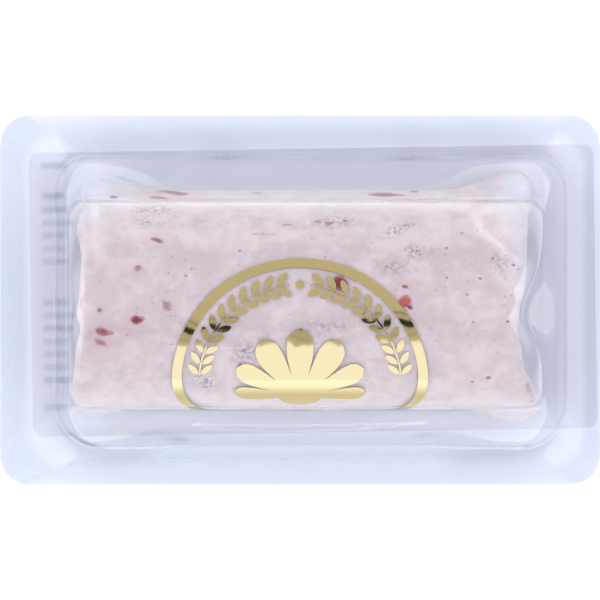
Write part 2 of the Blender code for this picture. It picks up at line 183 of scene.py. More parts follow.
# Pitted places, greyed with painted shade for their small holes, and bluish pale clouds on the cheese: x, y, length and
# width in mm, turn in degrees and strength
PITS = (
    (-27.4, 16.9, 7.2, 2.0, 0, 1.0), (-29.0, 14.4, 3.6, 1.4, 0, 0.8), (-18.9, 14.6, 2.4, 1.2, 0, 0.5),
    (17.2, 12.6, 3.4, 1.8, 22, 1.0), (20.0, 13.8, 2.6, 1.2, 30, 0.8), (21.6, 8.9, 4.6, 2.2, -8, 0.9),
    (17.0, 6.0, 5.4, 2.4, -10, 0.6), (6.0, 14.4, 9.0, 2.6, 4, 0.7), (-17.6, -15.0, 4.4, 3.0, -20, 0.8),
    (-10.2, -10.0, 5.6, 4.0, 10, 0.7), (5.0, -5.0, 9.0, 3.0, 0, 0.4), (37.0, 7.0, 5.0, 4.0, 0, 0.4),
)
CLOUDS = (
    (-39.0, 22.5, 11.0, 11.0, 0, 0.7), (41.0, 21.5, 9.0, 10.0, 0, 0.8), (-40.0, -23.5, 12.0, 7.0, 0, 0.7),
    (42.0, -23.5, 12.0, 5.0, 0, 0.5), (41.5, 2.0, 3.0, 22.0, 0, 0.5),
)

# The cheese's own unevenness: soft lumps, grit and pits, and the furthest that its surface is raised
LUMP = 7.0 * MM
LUMP_HEIGHT = 0.12 * MM
LUMP_FRACTAL = (0.9, 2.1, 4)
GRIT = 1.6 * MM
GRIT_FRACTAL = (0.8, 2.0, 3)
GRIT_HEIGHT = 0.035 * MM
PIT_DEPTH = 0.1 * MM
MOST_RAISED = 0.25 * MM

# How steeply the surface faces up where marks start and are full, and where it counts as pressed
MARKED = (-0.3, 0.1)
LEVEL = (0.6, 1.0)

# How far the juice of a piece spreads, by its own length and width, and how strongly it stains
STAIN_LENGTH = 1.7
STAIN_WIDTH = 2.1
STAIN_SHARE = 0.6

# Pale lines where the cheese is pressed on the film, and painted highlights along its back shoulder where the light
# falls; top view in mm: half width, height, paleness and points
RIDGES_AND_HIGHLIGHTS = (
    (1.0, 0.2, 0.5, ((32.7, 15.8), (33.6, 13.4), (35.2, 11.5), (37.2, 9.9), (38.6, 8.2), (40.6, 7.2))),
    (0.8, 0.16, 0.45, ((32.9, 15.6), (34.2, 16.7), (36.8, 17.2), (40.0, 17.4))),
    (3.0, 0.0, 0.22, ((38.6, 14.4), (40.2, 8.0))),
    (1.4, 0.1, 0.3, ((40.0, 7.0), (38.8, 4.2), (39.6, 1.6))),
    (1.0, 0.16, 0.3, ((36.5, 4.6), (38.4, 2.8), (40.6, 2.2))),
    (1.3, 0.18, 0.3, ((-38.3, 17.0), (-38.0, 13.0), (-37.4, 8.4))),
    (0.9, 0.05, 0.35, ((-41.2, 17.0), (-40.6, 8.0), (-40.4, 2.0), (-40.9, -4.0), (-41.6, -14.0))),
    (1.0, 0.0, 0.48, ((-33.0, 17.9), (-10.0, 18.0), (12.0, 18.0), (31.0, 17.9))),
    (0.8, 0.0, 0.14, ((-33.0, 21.1), (-10.0, 20.8), (12.0, 20.8), (31.0, 21.2))),
)

# Foil ornament on the dome's front: a round band, a laurel inside it and a fan of leaves; front share
# is how much a facet's frontward lean counts when its outer side is told from its inner side
FOIL_LIFT = 0.03 * MM
FOIL_SHEET = 0.05 * MM
FOIL_FACET = 0.5 * MM
FRONT_SHARE = 0.1
SEAL_ARC = 15.0 * MM
SEAL_RADIUS = 23.8 * MM
SEAL_BAND = 1.8 * MM
FAN_ARC = 20.5 * MM
FAN_LEAVES = 7
FAN_OPENING = radians(200.0)
FAN_CORE = 4.0 * MM
FAN_REACH = 16.0 * MM
FAN_SIDE_REACH = 12.0 * MM
FAN_POINT = 0.16
FAN_SIDE = 5.0
LAUREL_RADIUS = 18.7 * MM
LAUREL_PAIRS = 11
LAUREL_FIRST = 0.1
LAUREL_START = radians(2.0)
LAUREL_END = radians(84.0)
LAUREL_LEAF = 2.9 * MM
LAUREL_WIDTH = 1.25 * MM
LAUREL_SPREAD = radians(40.0)
LAUREL_STEM = 0.3 * MM
LAUREL_BUD = 0.8 * MM
LAUREL_POINT = 0.45
LEAF_STEPS = 24
BAND_STEPS = 512
FAN_STEPS = 560

# Label on the back, as in the frame, and the faint bars near its left end: rows and ends in mm
LABEL_LENGTH = 107.4 * MM
LABEL_WIDTH = 54.0 * MM
LABEL_CORNER = 2.0 * MM
LABEL_SHEET = 0.2 * MM
LABEL_TURN = radians(0.9)
LABEL_CENTRE = (2.5 * MM, 1.8 * MM, 0.0)
LABEL_GRID = 0.4 * MM
BAR_LEFT = -51.4
BAR_RIGHT = -45.2
BAR_SEED = 5
BAR_TRIM = 2.2
BAR_SOFT, BAR_TAIL = 0.3, 0.4
BAR_FAINT, BAR_STRONG = 0.5, 0.8
BAR_EDGE, BAR_CORE = 0.85, 0.35
BAR_ROWS = (24.5, 18.8, 16.1, 13.6, 11.2, 8.7, 6.3, -1.5, -4.0, -6.4, -8.9, -11.3, -13.8, -16.3, -21.5)

# Camera, whose sensor Blender gives in mm, and studio
CAMERA_DISTANCE = 1.6
SENSOR = 36.0
FLOOR_REACH = 4.0
FLOOR_DROP = 0.1 * MM
FLOOR_CLOUD = 333.0 * MM
FLOOR_TONES = ("F8F8F8", "FBFBFB")


def linear(channel):
    """One sRGB channel, 0 to 1, as linear light."""
    if channel <= 0.04045:
        return channel / 12.92
    return ((channel + 0.055) / 1.055) ** 2.4


def colour(code):
    """An sRGB hex colour as linear RGBA."""
    return (*(linear(int(code[i : i + 2], 16) / 255) for i in (0, 2, 4)), 1.0)


def smooth(value, start, end):
    """Rises from 0 at start to 1 at end, level at both."""
    share = min(max((value - start) / (end - start), 0.0), 1.0)
    return share * share * (3.0 - 2.0 * share)


def blot(x, y, centre_x, centre_y, length, width, turn):
    """1 in the middle of a turned oval, falling softly to 0 round it; all in mm."""
    angle = radians(turn)
    away_x, away_y = x - centre_x, y - centre_y
    along = away_x * cos(angle) + away_y * sin(angle)
    across = away_y * cos(angle) - away_x * sin(angle)
    return exp(-((2.0 * along / length) ** 2) - (2.0 * across / width) ** 2)


def blots(x, y, marks):
    """How strongly soft ovals mark a point; all in mm."""
    return sum(strength * blot(x, y, *place) for *place, strength in marks)


# Shapes


def rounded_rectangle(left, right, front, back, front_corner, back_corner, steps):
    """Points round a rectangle with arcs for corners; steps are a corner's, a long and a short side's."""
    corners = (
        (right - back_corner, back - back_corner, back_corner, 0.0),
        (left + back_corner, back - back_corner, back_corner, 0.5 * pi),
        (left + front_corner, front + front_corner, front_corner, pi),
        (right - front_corner, front + front_corner, front_corner, 1.5 * pi),
    )
    points = []
    for index, (x, y, radius, start) in enumerate(corners):
        for step in range(steps[0] + 1):
            angle = start + 0.5 * pi * step / steps[0]
            points.append((x + radius * cos(angle), y + radius * sin(angle)))
        next_x, next_y, next_radius, next_start = corners[(index + 1) % 4]
        end = Vector(points[-1])
        ahead = Vector((next_x, next_y)) + next_radius * Vector((cos(next_start), sin(next_start)))
        side = steps[1 + index % 2]
        points += [tuple(end.lerp(ahead, step / side)) for step in range(1, side)]
    return points


def wrap(rings):
    """A skin over closed rings of points, with its seam merged."""
    mesh = bmesh.new()
    around, levels = len(rings[0]), len(rings) - 1
    bmesh.ops.create_grid(mesh, x_segments=around, y_segments=levels, size=0.5)
    for vert in mesh.verts:
        step = round((vert.co.x + 0.5) * around) % around
        vert.co = rings[round((vert.co.y + 0.5) * levels)][step]
    bmesh.ops.remove_doubles(mesh, verts=mesh.verts, dist=MERGE)
    return mesh


def placed(name, data):
    """A new object in the scene."""
    item = bpy.data.objects.new(name, data)
    bpy.context.scene.collection.objects.link(item)
    return item


def placed_mesh(name, mesh, material):
    """An object from a bmesh, in one material."""
    data = bpy.data.meshes.new(name)
    mesh.to_mesh(data)
    mesh.free()
    data.materials.append(material)
    return placed(name, data)


def finished(name, mesh, material, angle):
    """An object from a bmesh, riding on the pack, shaded smooth up to an angle between faces."""
    piece = placed_mesh(name, mesh, material)
    piece.data.shade_smooth()
    piece.data.set_sharp_from_angle(angle=radians(angle))
    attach(piece, "root")
    return piece


def fold(x, y, height, right):
    """Where a point at x lies once the right end is pinched in."""
    spread = FOLD_SPREAD_BACK if y > FOLD_Y else FOLD_SPREAD_FRONT
    across = exp(-(((y - FOLD_Y) / spread) ** 2))
    up = smooth(height, FOLD_FOOT, AXIS_HEIGHT)
    along = smooth(x, right - FOLD_REACH, right)
    return x - FOLD_DEPTH * across * up * along


def pocket(x):
    """0 along the dome's middle, rising to 1 in its corners."""
    return smooth(abs(x), POCKET_START, POCKET_END)


def dome_reach(height, side, x=0.0):
    """How far the dome stands out from the ridge line, to the back (1) or the front (-1)."""
    if height >= AXIS_HEIGHT:
        return sqrt(max(DOME_RADIUS**2 - (height - AXIS_HEIGHT) ** 2, 0.0))
    upright = UPRIGHT_FRONT * (1.0 - pocket(x)) if side < 0 else 0.0
    root = ROOT_REACH_FRONT if side < 0 else ROOT_REACH_BACK
    drop = AXIS_HEIGHT - height
    waist = DOME_RADIUS + FRONT_DRAFT * min(drop, upright)
    share = min(max(drop - upright, 0.0) / (AXIS_HEIGHT - FLANGE_TOP - upright), 1.0)
    swell = 1.0 + (POCKET_SWELL - 1.0) * pocket(x)
    return waist + (root - waist) * (1.0 - (1.0 - share) ** swell)


def dome_rise(height):
    """0 at the dome's root, rising evenly to 1 at its shoulders."""
    return min(max((height - FLANGE_TOP) / (AXIS_HEIGHT - FLANGE_TOP), 0.0), 1.0)


def dome_end(height, end):
    """Where the dome's right (1) or left (-1) end lies at a height, before the pinch."""
    root, shoulder = (ROOT_RIGHT, SHOULDER_RIGHT) if end > 0 else (ROOT_LEFT, SHOULDER_LEFT)
    lean = END_DRAFT * max(height - AXIS_HEIGHT, 0.0)
    over = max(height - (AXIS_HEIGHT + DOME_RADIUS - END_EDGE), 0.0)
    edge = END_EDGE - sqrt(END_EDGE**2 - over**2)
    return root + (shoulder - root) * dome_rise(height) - end * (lean + edge)


def dome_ring(height, steps, margin=0.0):
    """The dome's outline at a height, margin wider than the wall."""
    left, right = dome_end(height, -1) - margin, dome_end(height, 1) + margin
    back = RIDGE_Y + dome_reach(height, 1) + margin
    front = RIDGE_Y - dome_reach(height, -1) - margin
    rise = dome_rise(height)
    widest = CORNER_SHARE * (back - front)
    back_corner = min(ROOT_CORNER_BACK + (DOME_CORNER - ROOT_CORNER_BACK) * rise + margin, widest)
    front_corner = min(ROOT_CORNER_FRONT + (DOME_CORNER - ROOT_CORNER_FRONT) * rise + margin, widest)
    points = []
    for x, y in rounded_rectangle(left, right, front, back, front_corner, back_corner, steps):
        side = 1 if y > RIDGE_Y else -1
        plain = dome_reach(height, side) + margin
        y = RIDGE_Y + (y - RIDGE_Y) * (dome_reach(height, side, x) + margin) / plain
        points.append((fold(x, y, height, right), y, height))
    return points


def follow(line, y):
    """The x of a soft line through points in mm, at a y in metres."""
    y = y / MM
    if y <= line[0][0]:
        return line[0][1] * MM
    for (start_y, start_x), (end_y, end_x) in zip(line, line[1:]):
        if y <= end_y:
            return (start_x + (end_x - start_x) * smooth(y, start_y, end_y)) * MM
    return line[-1][1] * MM


def log_reach(height, side, x):
    """How far the log stands out from its ridge line, sagging below its middle and filling the corners."""
    drop = AXIS_HEIGHT - height
    if drop <= 0.0:
        return sqrt(max(LOG_RADIUS**2 - drop**2, 0.0))
    sag = LOG_SAG_FRONT if side < 0 else LOG_SAG_BACK
    share = drop / LOG_DEPTH
    plain = LOG_RADIUS * sqrt(1.0 - share**2) + sag * sin(pi * share) ** 2
    room = dome_reach(height, side, x) - LOG_ROOM
    fill = CORNER_FILL[(1 if x > 0.0 else -1, side)] * pocket(x)
    return plain + max(room - plain, 0.0) * fill * smooth(share, *FILL_TOP) * smooth(share, *FILL_FOOT)


def log_ring(height, steps):
    """The log's outline at a height, with its uneven ends."""
    over = max(height - (AXIS_HEIGHT + LOG_RADIUS - LOG_END_EDGE), 0.0)
    edge = LOG_END_EDGE - sqrt(max(LOG_END_EDGE**2 - over**2, 0.0))
    left, right = LOG_LEFT + edge, LOG_RIGHT - edge
    back, front = log_reach(height, 1, 0.0), -log_reach(height, -1, 0.0)
    low = max(AXIS_HEIGHT - height, 0.0) / (AXIS_HEIGHT - LOG_BOTTOM)
    corner = min(LOG_CORNER + (LOG_FOOT_CORNER - LOG_CORNER) * low, CORNER_SHARE * (back - front))
    left_wall, right_wall = dome_end(height, -1), dome_end(height, 1)
    points = []
    for x, y in rounded_rectangle(left, right, front, back, corner, corner, steps):
        side = 1 if y > 0.0 else -1
        y = RIDGE_Y + y * log_reach(height, side, x) / log_reach(height, side, 0.0)
        x += (follow(LEFT_END, y) - LOG_LEFT) * smooth(-x, -left - LOG_END_REACH, -left)
        x += (follow(RIGHT_END, y) - LOG_RIGHT) * smooth(x, right - LOG_END_REACH, right)
        pinched = fold(right_wall, y, height, right_wall)
        points.append((min(max(x, left_wall + LOG_END_ROOM), pinched - LOG_END_ROOM), y, height))
    return points


def on_dome(x, arc, lift):
    """A point lifted off the dome's skin, arc down its front from the ridge line."""
    quarter = 0.5 * pi * DOME_RADIUS
    angle = min(arc, quarter) / DOME_RADIUS
    reach = DOME_RADIUS + lift
    drop = max(arc - quarter, 0.0)
    out = reach * sin(angle) + FRONT_DRAFT * drop
    return Vector((x, RIDGE_Y - out, AXIS_HEIGHT + reach * cos(angle) - drop))


# Materials

# PET film: waves from the mould, its gloss, and the most that it mirrors where it is seen edge on
FILM_WAVE = 9.0 * MM
FILM_WAVE_DEPTH = 0.15 * MM
FILM_IOR = 1.5
FILM_ROUGHNESS = 0.07
FILM_MIRROR = (0.9, 0.9, 0.9, 1.0)
MIRROR_MOST = 0.28

# Fresh cheese: its mottling, flakes, crumb, dark seeds and press marks, how much the flakes add and pressing
# takes away, and how far milk lets light in
MOTTLE = 5.0 * MM
FLAKE = 1.9 * MM
CRUMB = 0.9 * MM
CRUMB_DEPTH = 0.08 * MM
CRUMB_STRENGTH = 0.6
SEED_SPACING = 1.5 * MM
SEED_EDGE, SEED_CORE, SEED_MOST = 0.2, 0.1, 0.55
SEEDS_FEW, SEEDS_MANY = 0.56, 0.44
DIMPLE = 0.65 * MM
HOLE_EDGE, HOLE_CORE = 0.46, 0.57
FLAKE_SHARE = 0.7
PRESSED_SHARE = 0.1
MOIST, DRY = 0.62, 1.02
CHEESE_ROUGHNESS = 0.45
MILK_DEPTH = 1.5 * MM
MILK_SHARE = 0.25
MILK_RADII = (1.0, 0.7, 0.6)

# Dried fruit: its wrinkles, and how their shade varies
WRINKLE = 0.8 * MM
WRINKLE_DEPTH = 0.1 * MM
WRINKLE_STRENGTH = 0.7
FRUIT_ROUGHNESS = 0.35
FRUIT_SHINE = 0.1
FRUIT_SHADES = {"From Min": 0.3, "From Max": 0.7, "To Min": 0.7, "To Max": 1.3}

# Gold foil: the film's ripple in it, and painted reflections, paler and then darker down the dome, standing in for
# the brighter and darker surroundings that the foil mirrors there; y in mm
RIPPLE = 16.0 * MM
RIPPLE_DEPTH = 0.16 * MM
FOIL_ROUGHNESS = 0.05
FOIL_LIGHT_REFLECTION_FROM = (-7.6, -8.6)
FOIL_DARK_REFLECTION_FROM = (-15.8, -17.6)

# Label paper: its clouds of fibre
FIBRE = 14.0 * MM
PAPER_ROUGHNESS = 0.5


def add(tree, kind, inputs=(), **settings):
    """Adds a node; inputs maps its sockets to values, to outputs, or to nodes, which stand for their first output."""
    node = tree.nodes.new(kind)
    for name, value in settings.items():
        setattr(node, name, value)
    for socket, value in dict(inputs).items():
        if isinstance(value, bpy.types.Node):
            value = value.outputs[0]
        if isinstance(value, bpy.types.NodeSocket):
            tree.links.new(value, node.inputs[socket])
        else:
            node.inputs[socket].default_value = value
    return node


def make_material(name, finish, *colours):
    """A material whose surface is the shader that a finish adds to its tree, by place on the object."""
    material = bpy.data.materials.new(name)
    material.use_nodes = True
    tree = material.node_tree
    tree.nodes.clear()
    place = add(tree, "ShaderNodeTexCoord").outputs["Object"]
    add(tree, "ShaderNodeOutputMaterial", {"Surface": finish(tree, place, *colours)})
    return material


def clear_film(tree, place, colours):
    """Clear PET sheet, drawn warm over a mould: glossy, softly waved, bluish, and milky where it was stretched; its
    milky, pale and grey marks also hold painted light, painted highlights and painted shade.
    """
    wave = add(tree, "ShaderNodeTexNoise", {"Vector": place, "Scale": 1 / FILM_WAVE, "Detail": 2.0})
    bump = add(tree, "ShaderNodeBump", {"Height": wave, "Distance": FILM_WAVE_DEPTH, "Strength": 1.0})
    clear = seen = add(tree, "ShaderNodeBsdfTransparent", {"Color": colours.film})
    # Milky haze with painted light, pale smears with painted highlights, and grey marks with painted shade
    for mark in ("haze_and_painted_light", "smear_and_painted_light", "grey_marks_and_shade"):
        share = add(tree, "ShaderNodeAttribute", attribute_name=mark).outputs["Fac"]
        dull = add(tree, "ShaderNodeBsdfDiffuse", {"Color": getattr(colours, mark)})
        seen = add(tree, "ShaderNodeMixShader", {0: share, 1: seen, 2: dull})
    edge = add(tree, "ShaderNodeFresnel", {"IOR": FILM_IOR, "Normal": bump})
    twice = add(tree, "ShaderNodeMath", {0: edge, 1: 2.0}, operation="MULTIPLY")
    whole = add(tree, "ShaderNodeMath", {0: edge, 1: 1.0}, operation="ADD")
    share = add(tree, "ShaderNodeMath", {0: twice, 1: whole}, operation="DIVIDE")
    capped = add(tree, "ShaderNodeMath", {0: share, 1: MIRROR_MOST}, operation="MINIMUM")
    inside = add(tree, "ShaderNodeNewGeometry").outputs["Backfacing"]
    outward = add(tree, "ShaderNodeMath", {0: 1.0, 1: inside}, operation="SUBTRACT")
    front = add(tree, "ShaderNodeMath", {0: capped, 1: outward}, operation="MULTIPLY")
    shine = add(tree, "ShaderNodeBsdfGlossy", {"Color": FILM_MIRROR, "Roughness": FILM_ROUGHNESS, "Normal": bump})
    seen = add(tree, "ShaderNodeMixShader", {0: front, 1: seen, 2: shine})
    ray = add(tree, "ShaderNodeLightPath")
    sides = {0: ray.outputs["Is Shadow Ray"], 1: ray.outputs["Is Diffuse Ray"]}
    lamp = add(tree, "ShaderNodeMath", sides, operation="MAXIMUM")
    return add(tree, "ShaderNodeMixShader", {0: lamp, 1: seen, 2: clear})


def inner_face(tree, place, colours):
    """The same sheet's inner face, which only tints what passes; what it mirrors is in the outer face's share."""
    return add(tree, "ShaderNodeBsdfTransparent", {"Color": colours.film})


def fresh_cheese(tree, place, colours):
    """Fresh goat cheese, mixed with fruit and pressed: moist, nearly white, mottled, with fine grey specks, painted
    shade in its small holes and painted highlights along its back shoulder.
    """
    mottle, flakes, grain, dimple = (
        add(tree, "ShaderNodeTexNoise", {"Vector": place, "Scale": 1 / size, "Detail": detail})
        for size, detail in ((MOTTLE, 5.0), (FLAKE, 4.0), (CRUMB, 3.0), (DIMPLE, 2.0))
    )
    pressed, stain, pale, cloud, pit_shade = (
        add(tree, "ShaderNodeAttribute", attribute_name=name).outputs["Fac"]
        for name in ("pressed", "stain", "pale", "cloud", "pit_shade")
    )
    wet = add(tree, "ShaderNodeMath", {0: pressed, 1: PRESSED_SHARE}, operation="MULTIPLY")
    crumb = add(tree, "ShaderNodeMath", {0: flakes, 1: FLAKE_SHARE, 2: mottle}, operation="MULTIPLY_ADD")
    dry = add(tree, "ShaderNodeMath", {0: crumb, 1: wet}, operation="SUBTRACT")
    moisture = {"Value": dry, "From Min": MOIST, "From Max": DRY}
    patch = add(tree, "ShaderNodeMapRange", moisture, interpolation_type="SMOOTHSTEP")
    cells = add(tree, "ShaderNodeTexVoronoi", {"Vector": place, "Scale": 1 / SEED_SPACING})
    seed = {"Value": cells, "From Min": SEED_EDGE, "From Max": SEED_CORE, "To Max": SEED_MOST}
    dot = add(tree, "ShaderNodeMapRange", seed)
    crowd = add(tree, "ShaderNodeMapRange", {"Value": mottle, "From Min": SEEDS_FEW, "From Max": SEEDS_MANY})
    few = add(tree, "ShaderNodeMath", {0: dot, 1: crowd}, operation="MULTIPLY")
    # Painted shade in the small holes, where the pitted places meet the dimples
    holes = add(tree, "ShaderNodeMapRange", {"Value": dimple, "From Min": HOLE_EDGE, "From Max": HOLE_CORE})
    pitted = add(tree, "ShaderNodeMath", {0: pit_shade, 1: holes}, operation="MULTIPLY")
    tone = colours.cheese_dark
    tints = (colours.cheese, colours.stain, colours.pressed, colours.bluish_cloud, colours.seeds, colours.pit_shade)
    for share, tint in zip((patch, stain, pale, cloud, few, pitted), tints):
        tone = add(tree, "ShaderNodeMix", {"Factor": share, 6: tone, 7: tint}, data_type="RGBA").outputs[2]
    bump = add(tree, "ShaderNodeBump", {"Height": grain, "Distance": CRUMB_DEPTH, "Strength": CRUMB_STRENGTH})
    looks = {"Base Color": tone, "Roughness": CHEESE_ROUGHNESS, "Normal": bump}
    milk = {"Subsurface Weight": MILK_SHARE, "Subsurface Radius": MILK_RADII, "Subsurface Scale": MILK_DEPTH}
    return add(tree, "ShaderNodeBsdfPrincipled", looks | milk)


def dried_cranberry(tree, place):
    """Cranberry, cut and dried: dark red, wrinkled, and so wet from the cheese that it hardly shines."""
    skin = add(tree, "ShaderNodeAttribute", attribute_name="skin").outputs["Color"]
    flesh = add(tree, "ShaderNodeTexNoise", {"Vector": place, "Scale": 1 / WRINKLE, "Detail": 3.0})
    value = add(tree, "ShaderNodeMapRange", {"Value": flesh} | FRUIT_SHADES)
    tone = add(tree, "ShaderNodeHueSaturation", {"Color": skin, "Value": value})
    bump = add(tree, "ShaderNodeBump", {"Height": flesh, "Distance": WRINKLE_DEPTH, "Strength": WRINKLE_STRENGTH})
    looks = {"Base Color": tone, "Roughness": FRUIT_ROUGHNESS, "Specular IOR Level": FRUIT_SHINE, "Normal": bump}
    return add(tree, "ShaderNodeBsdfPrincipled", looks)


def gold_foil(tree, place, colours):
    """Gold lacquered aluminium foil, hot stamped: a mirror with the film's faint ripple, so it shows lamps in bands,
    with paler and darker reflections painted into its colour down the dome's front.
    """
    ripple = add(tree, "ShaderNodeTexNoise", {"Vector": place, "Scale": 1 / RIPPLE, "Detail": 3.0})
    bump = add(tree, "ShaderNodeBump", {"Height": ripple, "Distance": RIPPLE_DEPTH, "Strength": 1.0})
    depth = add(tree, "ShaderNodeSeparateXYZ", {0: place}).outputs["Y"]
    tone = colours.foil
    # Painted reflections: paler, then darker, down the dome
    for (start, end), shade in ((FOIL_LIGHT_REFLECTION_FROM, colours.foil_light_reflection), (FOIL_DARK_REFLECTION_FROM, colours.foil_dark_reflection)):
        step = add(tree, "ShaderNodeMapRange", {"Value": depth, "From Min": start * MM, "From Max": end * MM})
        tone = add(tree, "ShaderNodeMix", {"Factor": step, 6: tone, 7: shade}, data_type="RGBA").outputs[2]
    looks = {"Base Color": tone, "Metallic": 1.0, "Roughness": FOIL_ROUGHNESS, "Normal": bump}
    return add(tree, "ShaderNodeBsdfPrincipled", looks)


def label_paper(tree, place, colours):
    """Coated paper, printed on its other side: flat and pale grey, with the print showing through as faint bars."""
    fibre = add(tree, "ShaderNodeTexNoise", {"Vector": place, "Scale": 1 / FIBRE, "Detail": 4.0})
    ink = add(tree, "ShaderNodeAttribute", attribute_name="ink").outputs["Fac"]
    tone = colours.label_dark
    for share, tint in ((fibre, colours.label), (ink, colours.ink)):
        tone = add(tree, "ShaderNodeMix", {"Factor": share, 6: tone, 7: tint}, data_type="RGBA").outputs[2]
    return add(tree, "ShaderNodeBsdfPrincipled", {"Base Color": tone, "Roughness": PAPER_ROUGHNESS})


def painted_board(tree, place):
    """Painted board, rolled on: plain, pale and matt."""
    cloud = add(tree, "ShaderNodeTexNoise", {"Vector": place, "Scale": 1 / FLOOR_CLOUD})
    dark, light = (colour(code) for code in FLOOR_TONES)
    tone = add(tree, "ShaderNodeMix", {"Factor": cloud, 6: dark, 7: light}, data_type="RGBA").outputs[2]
    return add(tree, "ShaderNodeBsdfDiffuse", {"Color": tone})


# Pieces

FILM_STEPS = (10, 60, 56)
FILM_WALL_LEVELS = 46
FILM_ARCH_LEVELS = 44
FILLET_LEVELS = 6
LOG_STEPS = (8, 190, 84)
LOG_FOOT_LEVELS = 36
LOG_ARCH_LEVELS = 62

# Milky places in the film, which also hold painted light: they lighten the flange and the dome's corners where
# these lie in shade, and tint the right end bluish as light from that side would; x, y, length, width in mm, turn in
# degrees and strength
HAZE_AND_PAINTED_LIGHT = (
    (-39.5, 22.0, 10.0, 10.0, 0, 0.24), (43.5, 21.0, 7.0, 10.0, 0, 0.18), (0.0, -22.6, 110.0, 4.4, 0, 0.10),
    (32.0, -22.6, 36.0, 4.4, 0, 0.18), (-32.0, -22.6, 32.0, 4.4, 0, 0.16), (52.5, -2.0, 9.0, 64.0, 0, 0.15),
    (-44.0, -2.0, 2.5, 44.0, 0, 0.06), (-40.5, -21.8, 9.0, 5.0, 0, 0.14), (-54.3, 0.0, 6.0, 90.0, 0, 0.8),
    (-31.0, 22.1, 9.0, 3.0, 0, 0.16), (55.0, -2.0, 3.6, 70.0, 0, 0.4), (45.0, -22.0, 10.0, 7.0, 0, 0.08),
)
HAZE_EVERYWHERE = 0.01
MARK_MOST = 0.9

# Fine white lines along the film's folds and foot, painted highlights where these catch the light, and grey marks in
# the film: half width, strength, lowest and highest place, and points in the top view, all in mm
CREASE_HIGHLIGHTS = (
    (0.40, 0.25, 0.0, 9.0, ((-46.5, 17.0), (-46.5, -18.0))),
    (0.35, 0.30, 18.0, 42.0, ((-44.0, 17.0), (-43.8, -17.0))),
    (0.25, 0.30, 0.0, 13.0, ((-20.4, -23.4), (-10.0, -23.7), (8.0, -23.6), (23.8, -23.2))),
    (0.20, 0.25, 0.0, 13.0, ((-20.4, -23.4), (-17.0, -24.4), (-5.0, -24.9), (10.0, -24.6), (23.8, -23.2))),
    (0.16, 0.30, 18.0, 42.0, ((44.9, 19.5), (45.3, 12.0), (44.6, 7.5), (43.2, 1.5), (42.6, -1.0))),
    (0.16, 0.30, 18.0, 42.0, ((42.5, -3.0), (44.1, -7.0), (44.6, -11.0), (44.7, -15.5), (45.6, -18.3))),
    (0.35, 0.45, 0.0, 4.0, ((-37.0, -28.1), (-10.0, -28.1), (18.0, -28.1), (42.0, -28.0))),
)
GREY_MARKS = (
    (-23.0, -26.4, 5.0, 1.3, -8, 0.5), (24.0, -25.5, 4.0, 1.0, 6, 0.3), (-44.2, 14.0, 1.4, 30.0, 0, 0.12),
    (-43.4, 22.6, 1.6, 9.0, -38, 0.2), (45.3, 8.0, 1.0, 26.0, 0, 0.1), (48.2, -14.0, 1.2, 20.0, 0, 0.12),
    (-36.0, -25.6, 26.0, 4.0, 0, 0.12),
)

# Grey marks on the flange and darker lines round the dome's foot, and how far up its wall they stop
FOOT_MARKS = 3.0 * MM
FOOT_GREY_MARKS = (
    (-14.2, 27.0, 8.0, 0.9, 0, 0.5), (21.0, 26.9, 8.0, 0.9, 0, 0.5), (-14.0, 26.9, 50.0, 0.7, 0, 0.12),
    (19.0, 26.9, 50.0, 0.7, 0, 0.12), (4.0, -26.6, 120.0, 2.2, 0, 0.05), (-2.0, -31.5, 160.0, 5.0, 0, 0.05),
    (-52.0, 31.0, 14.0, 8.0, 0, 0.07),
)

# Cheese smeared thinly on the film along its shoulders, with painted light: a painted highlight along the back
# shoulder and painted light over the shaded gap at the log's front foot; as for the creases, how softly both end up
# and down the wall in mm, and the smears' own patches
SMEARS_AND_PAINTED_LIGHT = (
    (0.60, 0.50, 21.5, 29.5, ((-38.5, 18.8), (31.5, 18.8))),
    (0.60, 0.26, 21.5, 29.5, ((33.0, 18.8), (40.8, 18.8))),
    (0.60, 0.26, 21.5, 29.5, ((-41.0, 18.8), (-39.8, 18.8))),
    (0.35, 0.30, 20.5, 29.5, ((-38.5, 17.9), (-20.0, 17.95), (10.0, 17.95), (31.0, 17.9))),
    (0.60, 0.48, 20.5, 27.5, ((-42.5, -20.25), (44.5, -20.25))),
)
CREASE_FADE = 0.01
SMEAR_FADE = 2.2
SMEAR_PATCH = 6.0 * MM
SMEAR_PATCHES = 0.45

# Painted shade along wrinkles in the dome, dark lines standing in for the shade in the film's folds: half width,
# strength and points in the top view, in mm
WRINKLE_SHADE = ((0.17, 0.80, ((-34.0, 23.1), (-30.5, 21.9), (-27.6, 21.0))),)


def line_share(x, y, line, spread):
    """1 on a line through points, falling softly to 0 beside it; all in mm."""
    best = 0.0
    point = Vector((x, y))
    for start, end in zip(line, line[1:]):
        start, end = Vector(start), Vector(end)
        along = min(max((point - start).dot(end - start) / (end - start).length_squared, 0.0), 1.0)
        away = (point - start.lerp(end, along)).length / spread
        best = max(best, exp(-(away**2)))
    return best


def line_marks(x, y, height, marks, fade):
    """How strongly soft lines mark a point, each line fading at its lowest and highest place; all in mm."""
    return sum(
        strength
        * line_share(x, y, line, spread)
        * smooth(height, lowest - fade, lowest + fade)
        * smooth(height, highest + fade, highest - fade)
        for spread, strength, lowest, highest, line in marks
        if lowest - fade < height < highest + fade
    )


